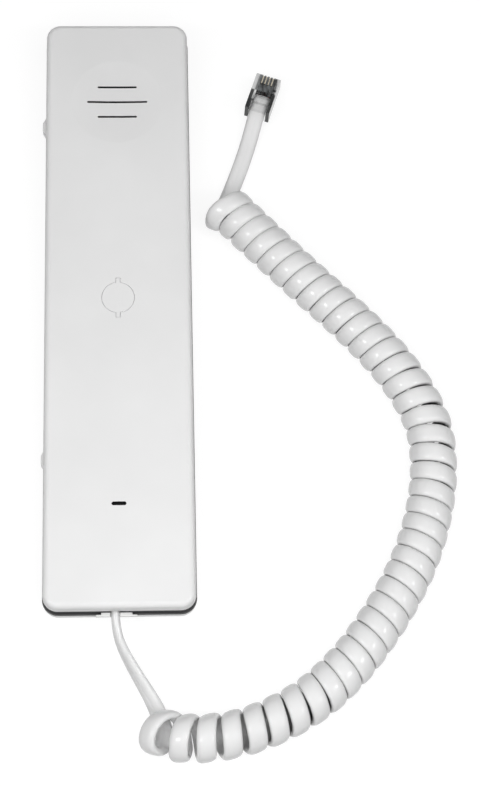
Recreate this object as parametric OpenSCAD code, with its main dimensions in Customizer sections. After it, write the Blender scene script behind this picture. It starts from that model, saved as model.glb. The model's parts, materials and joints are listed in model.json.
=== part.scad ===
// Slimline telephone handset, its curly cord and its plug, in millimetres.
// The handset lies on its back: +Z leaves the front face, +Y points to the earpiece,
// and the origin is the middle of the back, so the cord lies on the plane z = 0.

/* [Handset] */
// Length of the handset
handset_l = 180; // [174:1:196]
// Width across the front face
handset_w = 42; // [41:0.5:48]
// Depth from the back to the front face
handset_d = 18; // [18:0.5:22]
// Radius of the face's corners, seen from the front
corner_r = 4.2; // [4:0.1:6]
// Rounding of the face's edge
edge_r = 1.8; // [1:0.1:2]
// Depth of the front shell, from its face to the seam band
front_d = 4; // [4:0.1:5]
// Height of the dark seam band between the shells
band_h = 3.4; // [3.2:0.1:3.6]

/* [Walls] */
// Side wall of the front shell
front_wall = 1.6; // [1.2:0.1:1.8]
// Thickness of the face
face_t = 2; // [1.8:0.1:2.2]
// Wall of the rear shell
rear_wall = 1.9; // [1.6:0.1:2.1]
// How far the rear shell's rim stands out past the front shell
rim_out = 0.3; // [0:0.05:0.5]
// How far the rear shell's sides curve in towards the back
back_inset = 4; // [2.5:0.1:4]
// Thickness of the seam band
band_t = 1.2; // [1:0.1:1.3]
// How far the seam band lies inside the front shell's outline
band_inset = 0.1; // [0.05:0.05:0.3]
// Thickness of the rear shell's locating lip
lip_t = 1; // [0.8:0.05:1.2]
// Distance from the handset's ends to the shallow finger scoop in the back
scoop_in = 36; // [35:1:55]
// Depth of the finger scoop
scoop_d = 2; // [0.5:0.1:2.2]

/* [Earpiece] */
// Distance from the handset's upper end to the middle of the earpiece
ear_in = 26.1; // [25:0.1:28]
// Radius of the dish in the face
dish_r = 13.5; // [10:0.1:15]
// Depth of the dish
dish_d = 0.5; // [0.2:0.05:0.8]
// Width of each sound slot
ear_slot_w = 0.65; // [0.5:0.05:1.2]
// Lengths of the sound slots, from the lowest to the highest
ear_slots = [11.6, 17.8, 11.6];
// Spacing of the sound slots
ear_slot_pitch = 4.9; // [3.5:0.1:6]
// Wall of the ring that holds the receiver
ear_ring_t = 1.2; // [1:0.1:1.4]

/* [Mouthpiece] */
// Distance from the handset's lower end to the middle of the mouthpiece
mouth_in = 29.5; // [28:0.1:30]
// Length of the sound slot
mouth_slot_l = 4.1; // [2:0.1:6]
// Width of the sound slot
mouth_slot_w = 1.1; // [0.6:0.1:1.6]
// Wall of the collar that holds the microphone's boot
mouth_collar_t = 1; // [0.8:0.1:1.2]

/* [Case screw and its cap] */
// Distance of the screw from the handset's middle
screw_y = 1; // [-3:0.5:3]
// Diameter of the cap
cap_dia = 9.25; // [8.5:0.05:10]
// Thickness of the cap
cap_t = 1.5; // [1.2:0.1:1.6]
// Width of the prise notches at the cap's rim
cap_nib_w = 1.15; // [0.8:0.05:1.6]
// Reach of the prise notches past the cap's rim
cap_nib_l = 1.4; // [0.8:0.1:1.8]
// Diameter of the screw's head
screw_head_dia = 5.4; // [5:0.1:5.6]
// Height of the screw's head
screw_head_h = 1.9; // [1.5:0.1:2]
// Diameter of the screw's shank
screw_dia = 2.9; // [2.6:0.1:3]
// Length of the screw's shank
screw_l = 10; // [6:0.5:10]
// Diameter of the front shell's screw boss
front_boss_dia = 12; // [12:0.1:13]
// Diameter of the rear shell's screw boss
rear_boss_dia = 6.6; // [5.5:0.1:7]

/* [Side keys] */
// Distance from the handset's upper end to the middle of the upper key
upper_key_in = 32.4; // [32:0.1:33.5]
// Distance from the handset's lower end to the middle of the lower key
lower_key_in = 43.7; // [43:0.1:60]
// Length of each key
key_l = 5.7; // [5:0.1:7]
// Length of the flat on each key's top
key_flat_l = 2.4; // [1.5:0.1:3]
// Height over which each key's ends slope down
key_slope_h = 0.9; // [0.4:0.1:1.1]
// How far the upper key stands out from the side
upper_key_out = 1.1; // [0.7:0.05:1.4]
// How far the lower key stands out from the side
lower_key_out = 0.8; // [0.7:0.05:1.4]
// Travel of each key
key_travel = 0.5; // [0.3:0.05:0.6]
// Thickness of each key's retaining flange
key_flange_t = 0.8; // [0.6:0.05:0.9]
// Reach of the flange past each end of its key
key_flange_out = 0.75; // [0.5:0.05:1]
// Width of a switch's square plunger
plunger_w = 1.4; // [1.1:0.1:1.5]
// Length of a switch's plunger
plunger_l = 1.8; // [1.5:0.1:1.9]
// Size of each switch across the handset
switch_w = 3.6; // [3:0.1:3.8]
// Size of each switch along the handset
switch_l = 4.6; // [4:0.1:5]

/* [Circuit board] */
// Thickness of the circuit board
board_t = 1.2; // [1:0.1:1.6]
// Distance from the board's top to the split line
board_drop = 0.8; // [0.6:0.1:1]
// Gap between the board's sides and the locating lip
board_side_gap = 0.8; // [0.6:0.1:1.2]
// Gap between the board's upper end and the receiver's ring
board_up_gap = 1.4; // [1:0.1:3]
// Gap between the board's lower end and the microphone's collar
board_low_gap = 0.65; // [0.5:0.05:2]
// Width of board past the upper key's switch
board_margin = 0.8; // [0.5:0.1:1]
// Distance of the board's posts from its sides
post_side_in = 4.9; // [4.5:0.1:6]
// Distance of the upper posts from the board's upper end
post_up_in = 9; // [6:0.5:15]
// Distance of the lower posts from the board's lower end
post_low_in = 15.6; // [14.5:0.1:20]
// Diameter of the board's posts
post_dia = 5; // [4.5:0.1:5.4]
// Diameter of the board screws' shanks
board_screw_dia = 1.7; // [1.5:0.1:2]
// Diameter of the board screws' heads
board_screw_head_dia = 3.4; // [3:0.1:4]
// Hole in the board round the screw boss
board_hole_dia = 8; // [7.6:0.1:10]

/* [Receiver] */
// Outer diameter of the receiver
receiver_dia = 24; // [23:0.1:24.4]
// Depth of the receiver's frame
receiver_d = 6.3; // [6:0.1:6.6]
// Wall of the receiver's frame
receiver_wall = 0.9; // [0.7:0.1:1.1]
// Thickness of the foam gasket in front of the receiver
gasket_t = 0.8; // [0.6:0.1:1]
// Outer diameter of the magnet's steel cup
yoke_dia = 13; // [12:0.1:13.4]
// Height of the steel cup
yoke_h = 4.5; // [4.2:0.1:4.6]
// Wall of the steel cup
yoke_wall = 1.2; // [1:0.1:1.3]
// Diameter of the magnet
magnet_dia = 8; // [7:0.1:8.4]
// Thickness of the steel plate on the magnet
pole_t = 0.8; // [0.6:0.1:1]
// Wall of the voice coil
coil_wall = 0.35; // [0.25:0.05:0.4]

/* [Microphone] */
// Diameter of the microphone capsule
mic_dia = 9.7; // [9:0.1:10]
// Depth of the microphone capsule
mic_d = 6.7; // [6:0.1:6.7]
// Wall of the rubber boot round the capsule
boot_t = 1.2; // [1:0.1:1.4]
// Depth of the rubber boot
boot_d = 8; // [7.8:0.1:8.4]

/* [Cord] */
// Width of the flat cord
cord_w = 4.9; // [4.5:0.1:4.9]
// Thickness of the flat cord
cord_t = 2.5; // [2.1:0.1:2.5]
// Outer diameter of the curly stretch
curl_dia = 14; // [13:0.5:14]
// Place of the cord across the handset's end
cord_x = -1.2; // [-2:0.1:0]
// Diameter of the conductors inside the handset
wire_dia = 0.9; // [0.7:0.05:1]
// Width of the gland's outer flange
gland_w = 11.4; // [10.5:0.1:12]
// Width of the gland's neck
gland_neck_w = 8.5; // [7.5:0.1:8.8]
// Thickness of the gland's outer flange
gland_flange_t = 0.5; // [0.4:0.05:0.8]
// Thickness of the gland's inner flange
gland_inner_t = 1.6; // [1.2:0.1:2]
// Place of the gland across the handset's end
gland_x = -0.8; // [-1.2:0.1:0]
// Height of the gland's outer flange, which rests above the rear shell's rim
gland_flange_h = 1.2; // [1:0.1:1.6]

/* [Plug] */
// Length of the plug's body
plug_l = 12.4; // [12:0.1:13]
// Width of the plug's body
plug_w = 7.65; // [7.5:0.05:7.7]
// Height of the plug's body
plug_h = 6; // [5.8:0.1:6.2]
// Spacing of the contacts
contact_pitch = 1.02; // [1:0.01:1.1]
// Thickness of a contact blade
contact_t = 0.35; // [0.3:0.05:0.4]
// Length of a contact blade
contact_l = 3.2; // [2.8:0.1:3.4]
// Length of the latch from its hinge to its free end
latch_l = 13; // [11:0.5:13.5]
// Width of the latch's finger tab
latch_w = 3.3; // [3:0.1:3.6]
// Thickness of the latch
latch_t = 0.7; // [0.6:0.05:0.8]
// Angle of the latch below the plug's body, at rest
latch_angle = 6.5; // [5.5:0.1:6.8]

/* [Fits] */
// Gap round a piece that drops into its seat
fit_gap = 0.1; // [0.05:0.01:0.15]
// Gap round a piece that slides
slide_gap = 0.15; // [0.1:0.01:0.2]
// Gap between a piece and what it doesn't bear on
clear_gap = 0.3; // [0.2:0.05:0.35]
// Radial gap of a screw in its pilot hole
screw_gap = 0.03; // [0.02:0.01:0.05]

/* [Hidden] */
$fn = 64;

shell_white = [0.9, 0.9, 0.88];
cord_white = [0.88, 0.88, 0.86];
band_grey = [0.2, 0.2, 0.21];
steel = [0.6, 0.6, 0.62];
gold = [0.85, 0.65, 0.25];
copper = [0.75, 0.42, 0.25];
smoke = [0.35, 0.37, 0.38, 0.6];

// Places along the handset, from its ends in
ear_y = handset_l / 2 - ear_in;
mouth_y = handset_l / 2 - mouth_in;
upper_key_y = handset_l / 2 - upper_key_in;
lower_key_y = lower_key_in - handset_l / 2;
// Heights, from the back up
face_under = handset_d - face_t;
band_top = handset_d - front_d;
split_z = band_top - band_h;
board_top = split_z - board_drop;
board_under = board_top - board_t;
// Rear shell's outline, and the circle its sides follow
rear_w = handset_w + 2 * rim_out;
rear_l = handset_l + 2 * rim_out;
rear_r = corner_r + rim_out;
side_r = (back_inset * back_inset + split_z * split_z) / (2 * back_inset);
scoop_l = handset_l - 2 * scoop_in;
scoop_r = (scoop_l * scoop_l / 4 + scoop_d * scoop_d) / (2 * scoop_d);
// The locating lip stands just inside the band
lip_inset = band_inset + band_t + fit_gap;
lip_in = lip_inset + lip_t;
lip_top = band_top - 0.2;
lip_root = split_z - 2;
lip_root_in = rear_wall - rim_out - 0.4;
// The strip of the band that stays whole beside the keys and the cord
band_strip = 0.5;
dish_sphere_r = (dish_r * dish_r + dish_d * dish_d) / (2 * dish_d);
// Screw cap and screw
cap_seat_r = cap_dia / 2 + fit_gap;
cap_floor = handset_d - cap_t - fit_gap;
head_well_r = screw_head_dia / 2 + 0.4;
head_seat = cap_floor - screw_head_h - 0.9;
front_boss_low = head_seat - 1.6;
rear_boss_top = front_boss_low - 0.2;
// Keys, worked out from the face's side inwards
key_z0 = split_z + band_strip + slide_gap;
key_h = band_top - slide_gap - key_z0;
key_mid_z = key_z0 + key_h / 2;
key_root = band_inset + band_t + fit_gap;
plunger_in = key_root + key_flange_t;
switch_in = plunger_in + plunger_l - 0.6;
// Receiver and microphone, from the face's underside down
receiver_top = face_under - gasket_t;
receiver_low = receiver_top - receiver_d;
receiver_floor_t = 1;
yoke_low = receiver_low - 1.2;
magnet_low = yoke_low + yoke_wall;
pole_low = yoke_low + yoke_h - pole_t;
pole_r = (yoke_dia / 2 - yoke_wall) - 0.9;
coil_in_r = pole_r + 0.2;
grille_t = 0.6;
ring_in_r = receiver_dia / 2 + clear_gap;
ring_low = split_z;
boot_front_t = 1;
mic_top = face_under - boot_front_t;
mic_low = mic_top - mic_d;
boot_r = mic_dia / 2 + fit_gap + boot_t;
collar_r = boot_r + fit_gap;
collar_low = split_z - 0.6;
mic_hole_r = 2.2;
// Circuit board, between the receiver's ring and the microphone's collar
board_w = handset_w - 2 * (lip_in + board_side_gap);
board_top_y = ear_y - ring_in_r - ear_ring_t - board_up_gap;
board_low_y = mouth_y - collar_r - mouth_collar_t - board_low_gap;
tongue_in_x = -handset_w / 2 + switch_in + switch_w + board_margin;
post_x = board_w / 2 - post_side_in;
post_up_y = board_top_y - post_up_in;
post_low_y = board_low_y - post_low_in;
// Cord and gland at the handset's end
end_y = -handset_l / 2;
wire_low = wire_dia / 2 + 0.05;
rear_end_y = -rear_l / 2;
cord_z = 10.85;
gland_low = cord_z - cord_w / 2 - 0.8;
gland_top = split_z + gland_flange_h;
cord_in_y = end_y + 10;
ferrule_l = 3;
// Plug, seen from its own rear end
plug_rear = [42, 66, 5.6];
plug_turn = -19;
plug_cord_in = 6;
latch_pivot = [0, plug_l - 1.2, -plug_h / 2 - latch_t / 2 - 0.1];

// Routes, as [x, y, z, roll]: at roll 0 the flat cord lies flat, at 90 it stands on edge
handset_tail_route = [
    [cord_x, cord_in_y, cord_z, 90], [cord_x, end_y + 4, cord_z, 90],
    [cord_x, end_y - 2, cord_z, 90],
    [-0.9, -95, 9.5, 90], [0, -98, 7.8, 85], [2.6, -102.1, 5.4, 72], [5.4, -107.1, 3.2, 45],
    [9.1, -112.4, 1.8, 18], [13.5, -118, 1.3, 0], [16.3, -122.3, 1.25, 0]
];
plug_tail_route = [
    [31, 35.5, 1.25, 0], [32.6, 39, 1.3, 0], [35.2, 45.6, 1.4, 0], [37.1, 50.6, 1.9, 0],
    [39.1, 56.4, 2.9, 0], [40.6, 61.4, 4.4, 0], plug_point(0), plug_point(plug_cord_in)
];
curl_axis = [
    [8, -121.2], [18, -123.6], [30.5, -123], [42, -119.2], [53, -112.8], [62.5, -104.2],
    [70.5, -94.5], [77.5, -84], [82.8, -73.5], [87, -61.5], [89.2, -48.8], [88.5, -35.5],
    [84, -23.5], [76, -11.8], [66, -0.7], [55, 10.6], [44, 22], [33.5, 32.8], [31, 35.5]
];

// ---------------------------------------------------------------- general shapes

function unit(v) = v / norm(v);
function plug_point(along) = [
    plug_rear[0] - along * sin(plug_turn), plug_rear[1] + along * cos(plug_turn), plug_rear[2], 0
];
function place(p) = [p[0], p[1], p[2]];
function heading(route, i) =
    unit(place(route[min(i + 1, len(route) - 1)]) - place(route[max(i - 1, 0)]));

// One ring of an oval tube: across is its width direction, after the roll
function ring(point, along, w, t, sides) =
    let (side = unit(cross([0, 0, 1], along)), up = cross(along, side), roll = point[3])
    let (across = cos(roll) * side + sin(roll) * up, through = cos(roll) * up - sin(roll) * side)
    [for (k = [0:sides - 1]) let (a = (k + 0.5) * 360 / sides)
        place(point) + w / 2 * cos(a) * across + t / 2 * sin(a) * through];

// A tube swept along a route; its flats, and not its corners, measure w by t
module tube(route, w, t, sides) {
    grow = 1 / cos(180 / sides);
    n = len(route);
    points = [for (i = [0:n - 1])
        each ring(route[i], heading(route, i), w * grow, t * grow, sides)];
    walls = [for (i = [0:n - 2], k = [0:sides - 1])
        let (a = i * sides + k, b = i * sides + (k + 1) % sides)
        each [[a, b + sides, b], [a, a + sides, b + sides]]];
    low_end = [for (k = [0:sides - 1]) k];
    high_end = [for (k = [sides - 1:-1:0]) (n - 1) * sides + k];
    polyhedron(points, concat([low_end], walls, [high_end]));
}

module wire(route) {
    tube([for (p = route) [p[0], p[1], p[2], 0]], wire_dia, wire_dia, 8);
}

// Sweeps a profile round a rounded rectangle: x = 0 is the outline, x = -r its corner's axis
module round_outline(w, l, r) {
    for (corner = [[1, 1, 0], [-1, 1, 90], [-1, -1, 180], [1, -1, 270]])
        translate([corner[0] * (w / 2 - r), corner[1] * (l / 2 - r), 0])
            rotate([0, 0, corner[2]])
                rotate_extrude(angle = 90) intersection() {
                    translate([r, 0]) children();
                    square([r + 1, handset_d + 1]);
                }
    for (turn = [0, 180]) rotate([0, 0, turn]) {
        translate([w / 2, l / 2 - r, 0])
            rotate([90, 0, 0]) linear_extrude(l - 2 * r) children();
        translate([r - w / 2, l / 2, 0])
            rotate([90, 0, 90]) linear_extrude(w - 2 * r) children();
    }
}

module cylinder_between(r, low, high) {
    translate([0, 0, low]) cylinder(r = r, h = high - low);
}

module pipe(outer_r, inner_r, low, high) {
    difference() {
        cylinder_between(outer_r, low, high);
        cylinder_between(inner_r, low - 1, high + 1);
    }
}

// A block from its low corner to its high corner
module block(low, high) {
    translate(low) cube(high - low);
}

// A slot with round ends, lying across the handset
module sound_slot(l, w) {
    linear_extrude(face_t + 2, center = true) {
        square([l - w, w], center = true);
        for (s = [-1, 1]) translate([s * (l - w) / 2, 0]) circle(d = w, $fn = 24);
    }
}

// ---------------------------------------------------------------- the front shell

module front_profile() {
    difference() {
        union() {
            translate([-corner_r, band_top]) square([corner_r, front_d - edge_r]);
            translate([-corner_r, band_top]) square([corner_r - edge_r, front_d]);
            translate([-edge_r, handset_d - edge_r]) circle(edge_r);
        }
        translate([-corner_r - 1, band_top - 1])
            square([corner_r + 1 - front_wall, face_under - band_top + 1]);
    }
}

module dish_cutter() {
    rotate_extrude($fn = 96) intersection() {
        translate([0, handset_d + dish_sphere_r - dish_d]) circle(dish_sphere_r, $fn = 720);
        translate([0, handset_d - 2 * dish_d]) square([dish_r + 1, 3 * dish_d]);
    }
}

// The outline of the cap or of its seat: a disc with a prise notch at the top and the bottom
module cap_outline(gap) {
    circle(cap_dia / 2 + gap);
    square([cap_nib_w + 2 * gap, cap_dia + 2 * (cap_nib_l + gap)], center = true);
}

// A snap finger on the front shell; its barb catches in a window of the rear shell's lip
snap_w = 5;
snap_x = 13;
snap_t = 1.2;
barb_out = 0.8;
barb_low = split_z + 0.6;
barb_h = 1.3;

module snap_finger() {
    inner_y = handset_l / 2 - lip_in - 0.2;
    block([-snap_w / 2, inner_y - snap_t, split_z - 0.4], [snap_w / 2, inner_y, face_under + 0.5]);
    translate([-snap_w / 2, inner_y, barb_low]) rotate([90, 0, 90]) linear_extrude(snap_w)
        polygon([[-0.1, -0.3], [0, -0.3], [barb_out, barb_h - 0.4], [barb_out, barb_h],
                 [-0.1, barb_h]]);
}

module at_snaps() {
    for (turn = [0, 180], s = [-1, 1]) rotate([0, 0, turn]) translate([s * snap_x, 0, 0])
        children();
}

module dished_face() {
    difference() {
        block([corner_r - handset_w / 2, corner_r - handset_l / 2, face_under],
              [handset_w / 2 - corner_r, handset_l / 2 - corner_r, handset_d]);
        translate([0, ear_y, 0]) dish_cutter();
    }
}

// The ring that holds the receiver, notched where the upper key's switch stands close to it
module receiver_ring() {
    difference() {
        translate([0, ear_y, 0])
            pipe(ring_in_r + ear_ring_t, ring_in_r, ring_low, face_under + 0.5);
        block([-handset_w / 2, upper_key_y - switch_l / 2 - clear_gap, ring_low - 1],
              [-handset_w / 2 + switch_in + switch_w + clear_gap,
               upper_key_y + switch_l / 2 + clear_gap, band_top - 0.2 + clear_gap]);
    }
}

module front_shell() color(shell_white) difference() {
    union() {
        round_outline(handset_w, handset_l, corner_r) front_profile();
        dished_face();
        receiver_ring();
        translate([0, -mouth_y, 0])
            pipe(collar_r + mouth_collar_t, collar_r, collar_low, face_under + 0.5);
        translate([0, screw_y, 0])
            cylinder_between(front_boss_dia / 2, front_boss_low, face_under + 0.5);
        at_snaps() snap_finger();
    }
    for (i = [-1:1]) translate([0, ear_y + i * ear_slot_pitch, handset_d - face_t / 2])
        sound_slot(ear_slots[i + 1], ear_slot_w);
    translate([0, -mouth_y, handset_d - face_t / 2]) sound_slot(mouth_slot_l, mouth_slot_w);
    translate([0, screw_y, 0]) {
        translate([0, 0, cap_floor]) linear_extrude(cap_t + 1) cap_outline(fit_gap);
        cylinder_between(head_well_r, head_seat, handset_d);
        cylinder_between(screw_dia / 2 + 0.15, front_boss_low - 1, handset_d);
    }
}

// ---------------------------------------------------------------- the rear shell

// The side's circle, cut off at the split line; t is how far it lies inside the outer side
module side_circle(t) {
    intersection() {
        translate([-side_r, split_z]) circle(side_r - t, $fn = 256);
        translate([-rear_r, t]) square([rear_r, split_z - t + 1]);
    }
}

module rear_profile() {
    difference() {
        intersection() {
            side_circle(0);
            translate([-rear_r, 0]) square([rear_r, split_z]);
        }
        intersection() {
            side_circle(rear_wall);
            translate([-rear_r, rear_wall]) square([rear_r, split_z]);
        }
    }
}

// The lip, with a thicker root that ties it to the wall below the split line
module lip_profile() {
    translate([-lip_in, lip_root]) square([lip_t, lip_top - lip_root]);
    translate([-lip_in, lip_root]) square([lip_in - lip_root_in, split_z - lip_root]);
}

module scoop(inside) {
    translate([0, 0, scoop_d - scoop_r]) rotate([0, 90, 0])
        cylinder(r = scoop_r + inside, h = handset_w + 4, center = true, $fn = 720);
}

// The floor inside: flat at both ends, raised over the finger scoop as far as the pad's ring
module floor_under(height) {
    intersection() {
        block([-rear_w / 2 + back_inset, -scoop_l / 2, 0],
              [rear_w / 2 - back_inset, min(scoop_l / 2, ear_y - pad_dia / 2 - clear_gap), height]);
        scoop(rear_wall);
    }
}

rib_t = 1.2;
rib_h = 5;
rib_ys = [-20, 22];
pad_ring_t = 1;

module board_posts() {
    for (x = [-post_x, post_x], y = [-post_low_y, post_up_y])
        translate([x, y, 0]) children();
}

module rear_shell() color(shell_white) difference() {
    union() {
        round_outline(rear_w, rear_l, rear_r) rear_profile();
        block([rear_r - rear_w / 2, rear_r - rear_l / 2, 0],
              [rear_w / 2 - rear_r, rear_l / 2 - rear_r, rear_wall]);
        floor_under(rib_h);
        round_outline(handset_w, handset_l, corner_r) lip_profile();
        translate([0, screw_y, 0]) cylinder_between(rear_boss_dia / 2, 1, rear_boss_top);
        board_posts() cylinder_between(post_dia / 2, 1, board_under);
        for (y = rib_ys)
            block([-post_x - post_dia / 2, y - rib_t / 2, 1],
                  [post_x + post_dia / 2, y + rib_t / 2, rib_h]);
        translate([0, ear_y, 0])
            pipe(pad_dia / 2 + clear_gap + pad_ring_t, pad_dia / 2 + clear_gap, 1, rib_h - 1);
    }
    scoop(0);
    translate([0, screw_y, 0])
        cylinder_between(screw_dia / 2 + screw_gap, head_seat - screw_l - 0.5, rear_boss_top + 1);
    board_posts()
        cylinder_between(board_screw_dia / 2 + screw_gap, rib_h - 1, board_under + 1);
    // way out for the cord's gland
    block([gland_x - gland_neck_w / 2 - fit_gap, rear_end_y - 1, gland_low - fit_gap],
          [gland_x + gland_neck_w / 2 + fit_gap, rear_end_y + 6, band_top]);
    // windows for the keys' flanges and for the snap barbs
    for (y = [lower_key_y, upper_key_y])
        block([-handset_w / 2 - 1, y - key_l / 2 - key_flange_out - 0.8, split_z + 0.2],
              [-handset_w / 2 + lip_in + 1, y + key_l / 2 + key_flange_out + 0.8, band_top]);
    at_snaps()
        block([-snap_w / 2 - clear_gap, handset_l / 2 - lip_in - 0.1, barb_low - 0.3],
              [snap_w / 2 + clear_gap, handset_l / 2 - lip_inset + fit_gap / 2,
               barb_low + barb_h + fit_gap]);
}

module seam_band() color(band_grey) difference() {
    round_outline(handset_w, handset_l, corner_r)
        translate([-band_inset - band_t, split_z]) square([band_t, band_h]);
    for (y = [lower_key_y, upper_key_y])
        block([-handset_w / 2 - 1, y - key_l / 2 - slide_gap, split_z + band_strip],
              [-handset_w / 2 + band_inset + band_t + 1, y + key_l / 2 + slide_gap, band_top + 1]);
    // the gland's neck, and the cord that stands out above it
    block([gland_x - gland_neck_w / 2 - fit_gap, end_y - 1, split_z - 1],
          [gland_x + gland_neck_w / 2 + fit_gap, end_y + band_inset + band_t + 1,
           gland_top + fit_gap]);
    block([cord_x - cord_t / 2 - fit_gap, end_y - 1, split_z - 1],
          [cord_x + cord_t / 2 + fit_gap, end_y + band_inset + band_t + 1,
           band_top - band_strip]);
}

// ---------------------------------------------------------------- case screw and cap

module screw_cap() color(shell_white) translate([0, screw_y, 0]) {
    translate([0, 0, handset_d - cap_t]) linear_extrude(cap_t) cap_outline(0);
    pipe(head_well_r - fit_gap, head_well_r - 0.8, cap_floor - 0.6, cap_floor + 0.5);
}

module cross_recess(r, depth, top) {
    for (turn = [0, 90]) translate([0, 0, top]) rotate([0, 0, turn])
        cube([2 * r, r / 3, 2 * depth], center = true);
}

module case_screw() color(steel) translate([0, screw_y, 0]) difference() {
    union() {
        cylinder_between(screw_head_dia / 2, head_seat, head_seat + screw_head_h);
        cylinder_between(screw_dia / 2, head_seat - screw_l, head_seat + 0.1);
    }
    cross_recess(screw_head_dia * 0.3, 1.1, head_seat + screw_head_h);
}

// ---------------------------------------------------------------- side keys

// A key: a stem whose top slopes down at both ends, and a flange that the band holds back
module side_key(y, out) {
    translate([-handset_w / 2, y, key_z0]) linear_extrude(key_h) {
        polygon([[-out, -key_flat_l / 2], [-out, key_flat_l / 2],
                 [key_slope_h - out, key_l / 2], [key_root, key_l / 2],
                 [key_root, -key_l / 2], [key_slope_h - out, -key_l / 2]]);
        translate([key_root, -key_l / 2 - key_flange_out])
            square([key_flange_t, key_l + 2 * key_flange_out]);
    }
}

module switch_plunger(y) {
    translate([plunger_in - handset_w / 2, y - plunger_w / 2, key_mid_z - plunger_w / 2])
        cube([plunger_l, plunger_w, plunger_w]);
}

module switch_body(y) {
    well = plunger_w / 2 + slide_gap;
    difference() {
        block([switch_in - handset_w / 2, y - switch_l / 2, board_top],
              [switch_in - handset_w / 2 + switch_w, y + switch_l / 2, band_top - 0.2]);
        block([switch_in - handset_w / 2 - 1, y - well, key_mid_z - well],
              [plunger_in + plunger_l + key_travel + slide_gap - handset_w / 2,
               y + well, key_mid_z + well]);
    }
}

module upper_key() color(shell_white) side_key(upper_key_y, upper_key_out);
module lower_key() color(shell_white) side_key(lower_key_y, lower_key_out);
module upper_switch_plunger() color("black") switch_plunger(upper_key_y);
module lower_switch_plunger() color("black") switch_plunger(lower_key_y);
module upper_switch() color("dimgray") switch_body(upper_key_y);
module lower_switch() color("dimgray") switch_body(lower_key_y);

// ---------------------------------------------------------------- circuit board

module circuit_board() color([0.15, 0.4, 0.25]) difference() {
    union() {
        block([-board_w / 2, -board_low_y, board_under], [board_w / 2, board_top_y, board_top]);
        block([-board_w / 2, board_top_y - 1, board_under],
              [tongue_in_x, upper_key_y + switch_l / 2 + 1, board_top]);
    }
    translate([0, ear_y, 0]) cylinder_between(ring_in_r, board_under - 1, board_top + 1);
    translate([0, screw_y, 0])
        cylinder_between(board_hole_dia / 2, board_under - 1, board_top + 1);
    board_posts()
        cylinder_between(board_screw_dia / 2 + 0.15, board_under - 1, board_top + 1);
}

module board_screws() color(steel) board_posts() difference() {
    union() {
        translate([0, 0, board_top]) cylinder(d = board_screw_head_dia, h = 1.3);
        cylinder_between(board_screw_dia / 2, rib_h, board_top + 0.1);
    }
    cross_recess(board_screw_head_dia * 0.28, 0.7, board_top + 1.3);
}

// A chip with seven pins on each side, raised off the board
chip_at = [2, -19];
chip_size = [6.4, 19, 3.2];
chip_lift = 0.5;
pin_pitch = 2.54;
pin_w = 0.5;
pin_t = 0.3;
pin_out = 0.8;

module speech_chip() color([0.1, 0.1, 0.1]) translate([chip_at[0], chip_at[1], board_top]) {
    pin_top = chip_lift + chip_size[2] / 2;
    translate([-chip_size[0] / 2, -chip_size[1] / 2, chip_lift]) cube(chip_size);
    for (turn = [0, 180], i = [-3:3]) rotate([0, 0, turn])
        translate([chip_size[0] / 2, i * pin_pitch - pin_w / 2, 0]) {
            translate([-0.1, 0, pin_top - pin_t]) cube([pin_out + 0.1, pin_w, pin_t]);
            translate([pin_out - pin_t, 0, 0]) cube([pin_t, pin_w, pin_top]);
        }
}

// Cans that stand on the board, each with its place and diameter
can_spots = [[-9, -14, 5], [-9, 18, 4.2], [9, 24, 5], [9, -31, 4.2]];
can_h = 3.8;
can_rim = 0.4;

module capacitors() color([0.15, 0.2, 0.35])
    for (spot = can_spots) translate([spot[0], spot[1], board_top]) {
        cylinder(d = spot[2], h = can_h - can_rim);
        translate([0, 0, can_h - can_rim]) cylinder(d = spot[2] - 0.6, h = can_rim);
    }

// Resistors lie across the board on bent leads
resistor_y = 30;
resistor_step = 3;
resistor_r = 0.9;
resistor_l = 6;
lead_r = 0.25;
lead_span = 10;

module resistors() color([0.75, 0.65, 0.45])
    for (i = [0:3]) translate([-3, resistor_y + i * resistor_step, board_top + resistor_r + 0.1])
        rotate([0, 90, 0]) {
            cylinder(r = resistor_r, h = resistor_l, center = true);
            cylinder(r = lead_r, h = lead_span, center = true, $fn = 24);
            for (s = [-1, 1]) translate([0, 0, s * lead_span / 2]) rotate([0, 90, 0])
                cylinder_between(lead_r, -lead_r, resistor_r + 0.1, $fn = 24);
        }

// The cord's socket below the board, with one hole for each conductor
socket_w = 10.4;
socket_h = 3.2;
socket_in = 0.7;
socket_l = 2.6;
socket_pitch = 2;

module cord_socket() color("ivory") difference() {
    block([-socket_w / 2, -board_low_y + socket_in, board_under - socket_h],
          [socket_w / 2, -board_low_y + socket_in + socket_l, board_under]);
    for (i = [-1.5:1.5]) translate([i * socket_pitch, -board_low_y, board_under - socket_h / 2])
        rotate([-90, 0, 0])
            cylinder(d = wire_dia + 0.3, h = socket_in + socket_l - 0.9, $fn = 24);
}

// ---------------------------------------------------------------- receiver

// Diameter of the foam pad behind the receiver
pad_dia = 16;
// Ledge inside the frame that carries the diaphragm's rim
ledge_w = 0.8;
vent_r = 0.8;
vent_at = (yoke_dia / 2 + receiver_dia / 2 - receiver_wall - ledge_w) / 2;

module receiver_frame() color("gainsboro") translate([0, ear_y, 0]) difference() {
    cylinder_between(receiver_dia / 2, receiver_low, receiver_top);
    cylinder_between(receiver_dia / 2 - receiver_wall, diaphragm_z, receiver_top + 1);
    cylinder_between(receiver_dia / 2 - receiver_wall - ledge_w, receiver_low + receiver_floor_t,
                     diaphragm_z + 1);
    cylinder_between(yoke_dia / 2 + fit_gap, receiver_low - 1, receiver_top);
    for (k = [0:5]) rotate([0, 0, k * 60 + 30]) translate([vent_at, 0, 0])
        cylinder_between(vent_r, receiver_low - 1, receiver_top, $fn = 24);
}

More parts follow.
